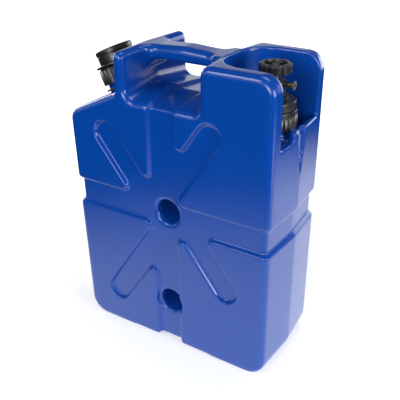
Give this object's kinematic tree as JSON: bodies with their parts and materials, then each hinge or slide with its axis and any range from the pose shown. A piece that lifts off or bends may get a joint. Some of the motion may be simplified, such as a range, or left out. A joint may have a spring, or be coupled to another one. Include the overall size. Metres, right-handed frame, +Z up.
{
  "type": "water filter jerrycan",
  "caption": "Flat blow-moulded jerrycan with a handle bar, a hand pump on the sloped shoulder, a tap with handwheel in a recess and a filter cartridge inside.",
  "frame": {"origin": "bottom centre of the bounding box, on the middle of the base", "axes": "+X along the wide front towards the tap, -Y towards the viewer of the front face, +Z up to the handle"},
  "size_m": [0.343, 0.157, 0.466],
  "materials": {
    "blue_plastic": "glossy, slightly uneven from blow moulding",
    "black_plastic": "satin",
    "black_rubber": "matt",
    "pale_plastic": "satin",
    "brass": "polished, with light tarnish",
    "steel": "brushed",
    "foam": "open-pored foam",
    "fibres": "fine parallel fibres"
  },
  "bodies": {
    "tank": {"tank_shell": "blue_plastic", "pump_neck_gasket": "black_rubber", "pump_neck_ring": "black_rubber", "housing_gasket": "black_rubber"},
    "pump_unit": {"pump_barrel": "pale_plastic", "pump_head": "black_plastic", "rod_wiper": "black_rubber", "foot_cap": "black_plastic", "foot_valve_cage": "black_plastic"},
    "pump_collar": {"pump_collar_nut": "black_plastic"},
    "pump_plunger": {"pump_rod": "steel", "pump_handle": "black_plastic", "handle_screw": "steel", "piston": "pale_plastic", "piston_cup_seal": "black_rubber", "piston_nut": "steel"},
    "foot_valve": {"foot_valve_disc": "black_rubber"},
    "filter_unit": {"tap_housing": "black_plastic", "valve_body": "black_plastic", "bonnet_nut": "black_plastic", "stem_packing": "black_rubber", "outlet_nozzle": "brass", "nozzle_end_ring": "steel", "cartridge_head": "black_plastic", "cartridge_seal_rings": "black_rubber", "cartridge_cage": "pale_plastic", "prefilter_sleeve": "foam", "fibre_bundle": "fibres", "core_tube": "pale_plastic", "cartridge_foot": "black_plastic"},
    "lock_ring": {"tap_lock_ring": "black_plastic"},
    "tap_spindle": {"valve_jumper": "brass", "valve_washer": "black_rubber"},
    "tap_wheel": {"handwheel": "black_plastic", "valve_spindle": "brass", "handwheel_screw": "steel"}
  },
  "joints": [
    {"name": "pump_lift", "type": "slide", "parent": "tank", "child": "pump_unit", "axis": [-0.4226, 0, 0.9063], "range_m": [0, 0.18]},
    {"name": "collar_turn", "type": "hinge", "parent": "pump_unit", "child": "pump_collar", "pos_m": [-0.1142, 0, 0.39039], "axis": [-0.4226, 0, 0.9063], "continuous": true},
    {"name": "pump_stroke", "type": "slide", "parent": "pump_unit", "child": "pump_plunger", "axis": [-0.4226, 0, 0.9063], "range_m": [0, 0.11]},
    {"name": "foot_valve_lift", "type": "slide", "parent": "pump_unit", "child": "foot_valve", "axis": [-0.4226, 0, 0.9063], "range_m": [0, 0.0015]},
    {"name": "filter_lift", "type": "slide", "parent": "tank", "child": "filter_unit", "axis": [0, 0, 1], "range_m": [0, 0.26]},
    {"name": "lock_ring_turn", "type": "hinge", "parent": "filter_unit", "child": "lock_ring", "pos_m": [0.1275, 0, 0.38], "axis": [0, 0, 1], "continuous": true},
    {"name": "spindle_rise", "type": "slide", "parent": "filter_unit", "child": "tap_spindle", "axis": [0, 0, 1], "range_m": [0, 0.0045]},
    {"name": "handwheel_turn", "type": "hinge", "parent": "tap_spindle", "child": "tap_wheel", "pos_m": [0.1275, 0, 0.45], "axis": [0, 0, 1], "range_deg": [0, 540]}
  ],
  "couplings": [
    {"joint": "spindle_rise", "follows": "handwheel_turn", "m_per_rad": 0.000477}
  ]
}
